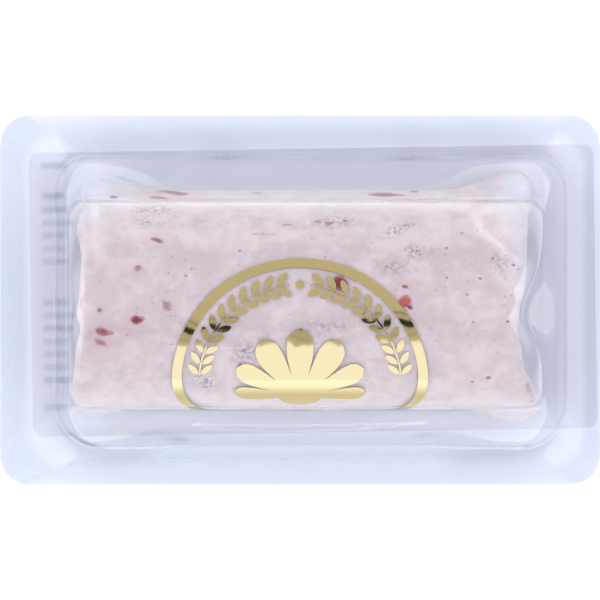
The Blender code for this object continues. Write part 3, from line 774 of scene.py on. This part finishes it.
def make_dome(material, inside, thickness):
    """The clear dome and flange, a closed sheet of even thickness with soft waves at its ends."""
    x, y = PACK_LENGTH / 2, PACK_WIDTH / 2
    cut = rounded_rectangle(-x, x, -y, y, PACK_CORNER, PACK_CORNER, FILM_STEPS)
    rings = [[(px, py, FLANGE_TOP) for px, py in cut]]
    foot = FLANGE_TOP + ROOT_FILLET
    for step in range(FILLET_LEVELS + 1):
        turn = 0.5 * pi * step / FILLET_LEVELS
        margin = ROOT_FILLET * (1.0 - sin(turn))
        height = FLANGE_TOP + ROOT_FILLET * (1.0 - cos(turn))
        rings.append([(px, py, height) for px, py, _ in dome_ring(foot, FILM_STEPS, margin)])
    for step in range(1, FILM_WALL_LEVELS):
        rings.append(dome_ring(foot + (AXIS_HEIGHT - foot) * step / FILM_WALL_LEVELS, FILM_STEPS))
    for step in range(FILM_ARCH_LEVELS + 1):
        angle = RIDGE_ANGLE * step / FILM_ARCH_LEVELS
        rings.append(dome_ring(AXIS_HEIGHT + DOME_RADIUS * sin(angle), FILM_STEPS))
    mesh = wrap(rings)
    top = [edge for edge in mesh.edges if edge.is_boundary and edge.verts[0].co.z > AXIS_HEIGHT]
    bmesh.ops.holes_fill(mesh, edges=top, sides=0)
    mesh.normal_update()
    haze_and_painted_light, grey_marks_and_shade, smear_and_painted_light = (mesh.verts.layers.float.new(name) for name in ("haze_and_painted_light", "grey_marks_and_shade", "smear_and_painted_light"))
    for vert in mesh.verts:
        px, py, height = vert.co / MM
        dome = smooth(vert.co.z, FLANGE_TOP, FLANGE_TOP + FOOT_MARKS)
        # Milky haze, with painted light over shaded places and painted highlight lines on the folds
        cloud = HAZE_EVERYWHERE + blots(px, py, HAZE_AND_PAINTED_LIGHT)
        cloud += line_marks(px, py, height, CREASE_HIGHLIGHTS, CREASE_FADE)
        vert[haze_and_painted_light] = min(cloud, MARK_MOST)
        # Pale smears, with a painted highlight on the back shoulder and painted light over the shaded front gap
        uneven = 1.0 + SMEAR_PATCHES * noise.noise(vert.co / SMEAR_PATCH)
        vert[smear_and_painted_light] = min(uneven * line_marks(px, py, height, SMEARS_AND_PAINTED_LIGHT, SMEAR_FADE), MARK_MOST)
        dark = blots(px, py, GREY_MARKS)
        dark += (1.0 - dome) * blots(px, py, FOOT_GREY_MARKS)
        # Painted shade along the wrinkles
        for spread, strength, line in WRINKLE_SHADE:
            dark += dome * strength * line_share(px, py, line, spread)
        vert[grey_marks_and_shade] = min(dark, MARK_MOST)
    piece = finished("clear_dome", mesh, material, 50.0)
    piece.data.materials.append(inside)
    wall = piece.modifiers.new("wall", "SOLIDIFY")
    wall.thickness = thickness
    wall.offset = -1.0
    wall.use_even_offset = True
    wall.material_offset = 1
    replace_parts(piece, "formed_film")
    return piece


def make_cheese(material, most_raised):
    """The soft log: pressed smooth where it meets the film, pitted and uneven elsewhere."""
    depth = AXIS_HEIGHT - LOG_BOTTOM
    foot = [0.5 * pi * step / LOG_FOOT_LEVELS for step in range(LOG_FOOT_LEVELS + 1)]
    arch = [RIDGE_ANGLE * step / LOG_ARCH_LEVELS for step in range(1, LOG_ARCH_LEVELS + 1)]
    heights = [AXIS_HEIGHT - depth * cos(angle) for angle in foot]
    heights += [AXIS_HEIGHT + LOG_RADIUS * sin(angle) for angle in arch]
    mesh = wrap([log_ring(height, LOG_STEPS) for height in heights])
    bmesh.ops.holes_fill(mesh, edges=[edge for edge in mesh.edges if edge.is_boundary], sides=0)
    mesh.normal_update()
    stain, pit_shade, pale, pressed, cloud = (
        mesh.verts.layers.float.new(name) for name in ("stain", "pit_shade", "pale", "pressed", "cloud")
    )
    for vert in mesh.verts:
        x, y, height = vert.co / MM
        seen = smooth(vert.normal.z, *MARKED)
        lumps = noise.fractal(vert.co / LUMP, *LUMP_FRACTAL)
        fine = noise.fractal(vert.co / GRIT, *GRIT_FRACTAL)
        ridges = [(rise, light, line_share(x, y, line, spread)) for spread, rise, light, line in RIDGES_AND_HIGHLIGHTS]
        pitted = seen * blots(x, y, PITS)
        juice = sum(
            power * blot(x, y, px, py, STAIN_LENGTH * size, STAIN_WIDTH * width, turn)
            for px, py, size, width, turn, _, power in FRUIT
        )
        vert[stain] = min(STAIN_SHARE * seen * juice, 1.0)
        # Where painted shade greys the small holes
        vert[pit_shade] = min(pitted, 1.0)
        # Pale press lines, and painted highlights along the back shoulder
        vert[pale] = seen * max(light * share for _, light, share in ridges)
        # Bluish pale clouds at the corners and right end
        vert[cloud] = min(seen * blots(x, y, CLOUDS), 1.0)
        vert[pressed] = smooth(vert.normal.z, *LEVEL)
        raised = seen * MM * max(rise * share for rise, _, share in ridges)
        offset = LUMP_HEIGHT * lumps + GRIT_HEIGHT * fine + raised - PIT_DEPTH * pitted * max(fine, 0.0)
        vert.co += vert.normal * min(offset, most_raised)
    piece = finished("soft_cheese", mesh, material, 180.0)
    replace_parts(piece, "cheese_log")
    return piece


def surface_of(piece):
    """A piece's surface, to find what lies under a point."""
    mesh = bmesh.new()
    mesh.from_mesh(piece.data)
    tree = BVHTree.FromBMesh(mesh)
    mesh.free()
    return tree


def add_bit(mesh, skin, surface, x, y, length, width, turn, shade, rim, depth):
    """One flat irregular piece, set in the cheese's surface as seen from above; sizes in metres."""
    hit, normal, _, _ = surface.ray_cast(Vector((x, y, ABOVE_ALL)), Vector((0.0, 0.0, -1.0)))
    if hit is None:
        raise RuntimeError(f"no cheese under the piece at {x / MM:.1f}, {y / MM:.1f} mm")
    facing = normal.to_track_quat("Z", "Y").to_matrix().to_4x4()
    heading = (facing.inverted() @ Vector((1.0, 0.0, 0.0))).to_2d()
    lean = atan2(heading.y, heading.x)
    stretch = Matrix.Diagonal((0.5 * length, 0.5 * width, depth, 1.0))
    spin = Matrix.Rotation(lean + radians(turn), 4, "Z")
    place = Matrix.Translation(hit - SUNK_SHARE * depth * normal) @ facing @ spin @ stretch
    ball = bmesh.ops.create_icosphere(mesh, subdivisions=3, radius=1.0)["verts"]
    seed = Vector((x, y, length)) / MM
    core = Vector(colour(shade))
    for vert in ball:
        swell = 1.0 + SWELL * noise.noise(vert.co * SWELL_RATE + seed) + BUMPS * noise.noise(vert.co * BUMP_RATE + seed)
        vert[skin] = core.lerp(rim, RIM_SHARE * smooth(vert.co.xy.length, RIM_FROM, RIM_TO))
        vert.co = place @ (vert.co * swell)


def make_fruit(material, surface, rim, scattered):
    """The cranberry pieces and dark specks in the cheese's surface, some of them scattered by chance."""
    mesh = bmesh.new()
    skin = mesh.verts.layers.float_color.new("skin")
    for x, y, length, width, turn, shade, _ in FRUIT:
        add_bit(mesh, skin, surface, x * MM, y * MM, length * MM, width * MM, turn, shade, rim, FRUIT_DEPTH)
    draw = random.Random(SPECK_SEED)
    specks = list(SPECKS)
    for _ in range(scattered):
        x, y = draw.uniform(SPECK_LEFT, SPECK_RIGHT), draw.uniform(SPECK_FRONT, SPECK_BACK)
        specks.append((x, y, draw.uniform(SPECK_SMALL, SPECK_LARGE)))
    for index, (x, y, size) in enumerate(specks):
        length, width = size * MM, size * draw.uniform(SPECK_SLIM, SPECK_BROAD) * MM
        shade = draw.choice(SPECK_SHADES if index < len(SPECKS) else FAINT_SHADES)
        turn = draw.uniform(-SPECK_TURN, SPECK_TURN)
        add_bit(mesh, skin, surface, x * MM, y * MM, length, width, turn, shade, rim, SPECK_DEPTH)
    piece = finished("cranberry_pieces", mesh, material, 180.0)
    return piece


def make_label(material, turn):
    """The paper label on the back, slightly askew, with rounded corners and faint bars near its left end."""
    columns, rows = round(LABEL_LENGTH / LABEL_GRID), round(LABEL_WIDTH / LABEL_GRID)
    mesh = bmesh.new()
    bmesh.ops.create_grid(mesh, x_segments=columns, y_segments=rows, size=0.5)
    ink = mesh.verts.layers.float.new("ink")
    draw = random.Random(BAR_SEED)
    bars = [(y, draw.uniform(0.0, BAR_TRIM), draw.uniform(BAR_FAINT, BAR_STRONG)) for y in BAR_ROWS]
    reach = Vector((0.5 * LABEL_LENGTH, 0.5 * LABEL_WIDTH))
    for vert in mesh.verts:
        x, y = vert.co.x * LABEL_LENGTH, vert.co.y * LABEL_WIDTH
        past = Vector((abs(x), abs(y))) - reach + Vector((LABEL_CORNER, LABEL_CORNER))
        if past.x > 0.0 and past.y > 0.0 and past.length > LABEL_CORNER:
            short = past * (LABEL_CORNER / past.length) - past
            x, y = x - copysign(short.x, x), y - copysign(short.y, y)
        vert.co = (x, y, LABEL_SHEET)
        across = smooth(x / MM, BAR_LEFT - BAR_SOFT, BAR_LEFT + BAR_SOFT)
        for row, trim, strength in bars:
            along = across * smooth(x / MM, BAR_RIGHT - trim + BAR_TAIL, BAR_RIGHT - trim - BAR_TAIL)
            vert[ink] += strength * along * smooth(abs(y / MM - row), BAR_EDGE, BAR_CORE)
    bmesh.ops.rotate(mesh, verts=mesh.verts, matrix=Matrix.Rotation(turn, 3, "Z"))
    bmesh.ops.translate(mesh, verts=mesh.verts, vec=LABEL_CENTRE)
    bmesh.ops.solidify(mesh, geom=mesh.faces[:], thickness=LABEL_SHEET)
    bmesh.ops.recalc_face_normals(mesh, faces=mesh.faces)
    piece = finished("paper_label", mesh, material, 30.0)
    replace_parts(piece, "back_label")
    return piece


def wrap_foil(name, mesh, material, lift, thickness):
    """Cuts a flat sheet of foil finely across, wraps it on the dome and gives it thickness."""
    bmesh.ops.remove_doubles(mesh, verts=mesh.verts, dist=MERGE)
    top = min(vert.co.y for vert in mesh.verts)
    foot = max(vert.co.y for vert in mesh.verts)
    for cut in range(1, ceil((foot - top) / FOIL_FACET)):
        parts = mesh.verts[:] + mesh.edges[:] + mesh.faces[:]
        line = (0.0, top + cut * FOIL_FACET, 0.0)
        bmesh.ops.bisect_plane(mesh, geom=parts, dist=MERGE, plane_co=line, plane_no=(0.0, 1.0, 0.0))
    for vert in mesh.verts:
        vert.co = on_dome(vert.co.x, vert.co.y, lift)
    mesh.normal_update()
    under = [face for face in mesh.faces if face.normal.z - FRONT_SHARE * face.normal.y < 0.0]
    bmesh.ops.reverse_faces(mesh, faces=under)
    mesh.normal_update()
    bmesh.ops.solidify(mesh, geom=mesh.faces[:], thickness=-thickness)
    bmesh.ops.recalc_face_normals(mesh, faces=mesh.faces)
    piece = finished(name, mesh, material, 30.0)
    return piece


def foil_sheet(name, steps, place, *finish):
    """A sheet of foil round a centre, where place(angle, share) gives x and the arc; finish is as in wrap_foil."""
    mesh = bmesh.new()
    bmesh.ops.create_grid(mesh, x_segments=steps, y_segments=1, size=0.5)
    for vert in mesh.verts:
        vert.co = (*place(2.0 * pi * (vert.co.x + 0.5), vert.co.y + 0.5), 0.0)
    return wrap_foil(name, mesh, *finish)


def round_place(radius, angle, arc=SEAL_ARC):
    """A place on the foil, as x and the arc down the dome, round a centre."""
    return radius * cos(angle), arc - radius * sin(angle)


def ring_place(angle, share):
    """The round band."""
    return round_place(SEAL_RADIUS - SEAL_BAND * share, angle)


def fan_place(angle, share):
    """The fan of pointed leaves, longest in the middle, on a round foot."""
    away = abs(remainder(angle - 0.5 * pi, 2.0 * pi))
    leaf = abs(2.0 * fmod(away / (FAN_OPENING / FAN_LEAVES) + 0.5, 1.0) - 1.0)
    reach = FAN_SIDE_REACH + (FAN_REACH - FAN_SIDE_REACH) * cos(min(away, 0.5 * pi))
    lobe = (1.0 - FAN_POINT * leaf) * sqrt(1.0 - leaf**FAN_SIDE) if away < 0.5 * FAN_OPENING else 0.0
    return round_place(share * (FAN_CORE + (reach - FAN_CORE) * lobe), angle, FAN_ARC)


def add_leaf(mesh, centre, heading):
    """One flat pointed leaf of the laurel, growing from its centre point along a heading."""
    leaf = bmesh.ops.create_circle(mesh, cap_ends=True, segments=LEAF_STEPS, radius=1.0)["verts"]
    for vert in leaf:
        along, across = vert.co.x, vert.co.y
        across *= 0.5 * LAUREL_WIDTH * (1.0 - LAUREL_POINT * along**4)
        along = 0.5 * LAUREL_LEAF * (1.0 + along)
        vert.co = (
            centre[0] + along * cos(heading) - across * sin(heading),
            centre[1] + along * sin(heading) + across * cos(heading),
            0.0,
        )


def add_stem(mesh, side):
    """The thin stem of one garland, from its first pair of leaves to the top."""
    stem = bmesh.ops.create_grid(mesh, x_segments=2 * LEAF_STEPS, y_segments=1, size=0.5)["verts"]
    for vert in stem:
        angle = LAUREL_START + (LAUREL_END - LAUREL_START) * (vert.co.x + 0.5)
        x, arc = round_place(LAUREL_RADIUS + LAUREL_STEM * vert.co.y, angle)
        vert.co = (side * x, arc, 0.0)


def make_laurel(*finish):
    """Two garlands of paired leaves on thin stems, which rise from the foot and meet at a bud on top."""
    mesh = bmesh.new()
    for side in (1, -1):
        add_stem(mesh, side)
        for pair in range(LAUREL_PAIRS):
            angle = LAUREL_START + (LAUREL_END - LAUREL_START) * (pair + LAUREL_FIRST) / LAUREL_PAIRS
            for away in (1, -1):
                x, arc = round_place(LAUREL_RADIUS + away * LAUREL_STEM, angle)
                ahead = -(angle + 0.5 * pi) + away * LAUREL_SPREAD
                heading = ahead if side > 0 else pi - ahead
                add_leaf(mesh, (side * x, arc), heading)
    middle = Matrix.Translation((0.0, SEAL_ARC - LAUREL_RADIUS, 0.0))
    bmesh.ops.create_circle(mesh, cap_ends=True, segments=LEAF_STEPS, radius=LAUREL_BUD, matrix=middle)
    return wrap_foil("laurel_leaves", mesh, *finish)


# Studio

# Bands of light over the pack, from the zenith towards the front: where each starts and how soft its start
# is, in degrees, and its strength; then how they slant, and the soft light at both sides
BANDS = (
    (-68.0, 14.0, 0.63), (12.4, 0.6, 0.09), (13.9, 0.6, 0.58), (19.4, 0.7, 0.015), (27.2, 0.7, 0.56), (36.3, 0.7, 0.36),
    (37.8, 0.7, 0.62), (44.0, 0.7, 1.2),
)
BAND_START = 1.5
BAND_SLANT = 240.0
SIDE_LIGHT = 2.42
SIDE_START = 0.09
SIDE_FULL = 0.2
SIDE_FAR = 0.64
SIDE_LOW = 0.45
SIDE_HIGH = 0.82


def make_light(side_light):
    """Soft light from both sides, and a bright card in front with a dark gap above it."""
    world = bpy.data.worlds.new("studio_light")
    world.use_nodes = True
    tree = world.node_tree
    tree.nodes.clear()
    way = add(tree, "ShaderNodeTexCoord").outputs["Generated"]
    across, along, up = add(tree, "ShaderNodeSeparateXYZ", {0: way}).outputs
    front = add(tree, "ShaderNodeMath", {0: along, 1: -1.0}, operation="MULTIPLY")
    angle = add(tree, "ShaderNodeMath", {0: front, 1: up}, operation="ARCTAN2")
    degrees = add(tree, "ShaderNodeMath", {0: angle}, operation="DEGREES")
    slant = add(tree, "ShaderNodeMath", {0: across, 1: BAND_SLANT, 2: degrees}, operation="MULTIPLY_ADD")
    level = BAND_START
    for start, edge, strength in BANDS:
        range_of = {"Value": slant, "From Min": start - edge, "From Max": start + edge}
        step = add(tree, "ShaderNodeMapRange", range_of, interpolation_type="SMOOTHSTEP")
        level = add(tree, "ShaderNodeMix", {0: step, 2: level, 3: strength})
    sideways = add(tree, "ShaderNodeMath", {0: across}, operation="ABSOLUTE")
    range_of = {"Value": sideways, "From Min": SIDE_START, "From Max": SIDE_FULL}
    beside = add(tree, "ShaderNodeMapRange", range_of, interpolation_type="SMOOTHSTEP")
    range_of = {"Value": up, "From Min": SIDE_LOW, "From Max": SIDE_HIGH, "To Min": SIDE_FAR, "To Max": side_light}
    far = add(tree, "ShaderNodeMapRange", range_of, interpolation_type="SMOOTHSTEP")
    total = add(tree, "ShaderNodeMix", {0: beside, 2: level, 3: far})
    light = add(tree, "ShaderNodeBackground", {"Color": (1.0, 1.0, 1.0, 1.0), "Strength": total})
    add(tree, "ShaderNodeOutputWorld", {"Surface": light})
    bpy.context.scene.world = world


def make_camera(distance):
    """Straight above the pack, whose flange just fills the picture's width."""
    data = bpy.data.cameras.new("camera")
    data.lens = SENSOR * distance / PACK_LENGTH
    data.sensor_width = SENSOR
    data.sensor_fit = "HORIZONTAL"
    data.clip_end = 100.0
    camera = placed("camera", data)
    camera.location = (0.0, 0.0, distance + FLANGE_TOP)
    bpy.context.scene.camera = camera


def make_floor():
    """A wide floor just under the label."""
    mesh = bmesh.new()
    bmesh.ops.create_grid(mesh, x_segments=1, y_segments=1, size=FLOOR_REACH)
    bmesh.ops.translate(mesh, verts=mesh.verts, vec=(0.0, 0.0, -FLOOR_DROP))
    placed_mesh("floor", mesh, make_material("studio_floor", painted_board))


# Settings, operators and panel


def paint(name, description, code):
    """A colour that a user can change, from its sRGB hex value."""
    return bpy.props.FloatVectorProperty(
        name=name, description=description, default=colour(code), subtype="COLOR", size=4, min=0.0, max=1.0
    )


def measure(name, description, default):
    """A length that a user can change."""
    return bpy.props.FloatProperty(name=name, description=description, default=default, min=0.0, unit="LENGTH")


class PackColours(bpy.types.PropertyGroup):
    """Colours of the film, cheese, fruit, foil and label"""

    film: paint("Film", "Light that one face of the film passes", "F9FAFD")
    # Milky film, also painted light where the flange and the dome's corners lie in shade
    haze_and_painted_light: paint("Haze", "Film where it is milky", "DCE7FD")
    # Smeared cheese, also a painted highlight along the back shoulder and painted light at the log's shaded front foot
    smear_and_painted_light: paint("Smear", "Cheese smeared on the film", "F0E4EC")
    # Grey marks on the film, and the painted shade along its wrinkles
    grey_marks_and_shade: paint("Smudge", "Dull marks on the film", "8F93A0")
    cheese: paint("Cheese", "Lighter part of the cheese", "D6C4C4")
    cheese_dark: paint("Cheese, darker", "Darker part of the cheese", "C6B3B2")
    stain: paint("Juice", "Cheese that fruit has stained", "C29DA8")
    # Press marks, also the painted highlight along the cheese's back shoulder
    pressed: paint("Press marks", "Cheese pressed flat on the film", "F6EAE8")
    # Bluish pale clouds at the cheese's corners and right end
    bluish_cloud: paint("Whey", "Wet corners of the cheese", "CFD2DA")
    seeds: paint("Seeds", "Fine specks in the cheese", "9C8C9E")
    # Painted shade in the cheese's small holes
    pit_shade: paint("Pits", "Small holes in the cheese", "796E84")
    fruit_rim: paint("Fruit, rim", "Fruit where the cheese covers it thinly", "C3A1A9")
    foil: paint("Foil", "Gold foil on top", "E6D195")
    # Painted reflections in the foil: paler down the dome's front, darker at its foot
    foil_light_reflection: paint("Foil, pale", "Gold foil down the dome's front", "E6D9AF")
    foil_dark_reflection: paint("Foil, foot", "Gold foil at the dome's foot", "B4A577")
    label: paint("Label", "Label paper", "E9E6E9")
    label_dark: paint("Label, darker", "Greyer clouds in the label paper", "E0DBDE")
    ink: paint("Label, print", "Print that shows through the label", "A9A9B8")


class PackSizes(bpy.types.PropertyGroup):
    """Sizes of the pieces, and how the studio stands"""

    film_wall: measure("Film wall", "Thickness of the formed film", FILM_WALL)
    most_raised: measure("Cheese relief", "Furthest that the cheese's surface is raised", MOST_RAISED)
    foil_lift: measure("Foil lift", "Room between the film and the foil", FOIL_LIFT)
    foil_sheet: measure("Foil sheet", "Thickness of the foil", FOIL_SHEET)
    scattered: bpy.props.IntProperty(
        name="Scattered specks", description="Number of fine specks placed by chance", default=SPECK_COUNT, min=0
    )
    label_turn: bpy.props.FloatProperty(
        name="Label turn", description="How far the label lies askew", default=LABEL_TURN, subtype="ANGLE"
    )
    side_light: bpy.props.FloatProperty(
        name="Side light", description="Strength of the soft light from both sides", default=SIDE_LIGHT, min=0.0
    )
    camera_distance: measure("Camera distance", "Height of the camera over the flange", CAMERA_DISTANCE)


class CHEESE_OT_dome(bpy.types.Operator):
    """Makes the clear dome with its flange"""

    bl_idname = "cheese.dome"
    bl_label = "Clear dome"

    def execute(self, context):
        colours = context.scene.pack_colours
        outside = make_material("clear_formed_film", clear_film, colours)
        inside = make_material("formed_film_inner_face", inner_face, colours)
        make_dome(outside, inside, context.scene.pack_sizes.film_wall)
        return {"FINISHED"}


class CHEESE_OT_web(bpy.types.Operator):
    """Finishes the flat film that closes the pack"""

    bl_idname = "cheese.web"
    bl_label = "Flat film"

    def execute(self, context):
        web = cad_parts["base_film"]
        web.data.materials.clear()
        web.data.materials.append(make_material("clear_flat_film", clear_film, context.scene.pack_colours))
        return {"FINISHED"}


class CHEESE_OT_log(bpy.types.Operator):
    """Makes the soft cheese log"""

    bl_idname = "cheese.log"
    bl_label = "Cheese"

    def execute(self, context):
        material = make_material("fresh_cheese", fresh_cheese, context.scene.pack_colours)
        make_cheese(material, context.scene.pack_sizes.most_raised)
        return {"FINISHED"}


class CHEESE_OT_fruit(bpy.types.Operator):
    """Sets the cranberry pieces and specks in the cheese, which is made before them"""

    bl_idname = "cheese.fruit"
    bl_label = "Fruit"

    def execute(self, context):
        surface = surface_of(bpy.data.objects["soft_cheese"])
        rim = Vector(context.scene.pack_colours.fruit_rim)
        material = make_material("dried_cranberry", dried_cranberry)
        make_fruit(material, surface, rim, context.scene.pack_sizes.scattered)
        return {"FINISHED"}


class CHEESE_OT_foil(bpy.types.Operator):
    """Makes the gold foil ornament: band, laurel and fan"""

    bl_idname = "cheese.foil"
    bl_label = "Foil ornament"

    def execute(self, context):
        sizes = context.scene.pack_sizes
        material = make_material("gold_foil", gold_foil, context.scene.pack_colours)
        finish = (material, sizes.foil_lift, sizes.foil_sheet)
        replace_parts(foil_sheet("round_band", BAND_STEPS, ring_place, *finish), "foil_ring")
        make_laurel(*finish)
        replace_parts(foil_sheet("leaf_fan", FAN_STEPS, fan_place, *finish), "foil_fan")
        return {"FINISHED"}


class CHEESE_OT_label(bpy.types.Operator):
    """Makes the paper label on the back"""

    bl_idname = "cheese.label"
    bl_label = "Back label"

    def execute(self, context):
        material = make_material("label_paper", label_paper, context.scene.pack_colours)
        make_label(material, context.scene.pack_sizes.label_turn)
        return {"FINISHED"}


class CHEESE_OT_stage(bpy.types.Operator):
    """Makes the floor, the light and the camera"""

    bl_idname = "cheese.stage"
    bl_label = "Studio"

    def execute(self, context):
        make_floor()
        make_light(context.scene.pack_sizes.side_light)
        make_camera(context.scene.pack_sizes.camera_distance)
        context.scene.view_settings.view_transform = "Standard"
        return {"FINISHED"}


class CHEESE_PT_panel(bpy.types.Panel):
    """Lists the settings and the steps that dress the pack"""

    bl_idname = "CHEESE_PT_panel"
    bl_label = "Cheese Log"
    bl_space_type = "VIEW_3D"
    bl_region_type = "UI"
    bl_category = "Cheese Log"

    def draw(self, context):
        for group, settings in ((PackColours, context.scene.pack_colours), (PackSizes, context.scene.pack_sizes)):
            for name in group.__annotations__:
                self.layout.prop(settings, name)
        for operator in OPERATORS:
            self.layout.operator(operator.bl_idname)


OPERATORS = (
    CHEESE_OT_dome, CHEESE_OT_web, CHEESE_OT_log, CHEESE_OT_fruit, CHEESE_OT_foil, CHEESE_OT_label, CHEESE_OT_stage,
)
CLASSES = (PackColours, PackSizes, *OPERATORS, CHEESE_PT_panel)


def register():
    for item in CLASSES:
        bpy.utils.register_class(item)
    bpy.types.Scene.pack_colours = bpy.props.PointerProperty(type=PackColours)
    bpy.types.Scene.pack_sizes = bpy.props.PointerProperty(type=PackSizes)


def unregister():
    del bpy.types.Scene.pack_sizes, bpy.types.Scene.pack_colours
    for item in reversed(CLASSES):
        bpy.utils.unregister_class(item)


def main():
    register()
    bpy.ops.cheese.dome()
    bpy.ops.cheese.web()
    bpy.ops.cheese.log()
    bpy.ops.cheese.fruit()
    bpy.ops.cheese.foil()
    bpy.ops.cheese.label()
    bpy.ops.cheese.stage()


if __name__ == "__main__":
    main()
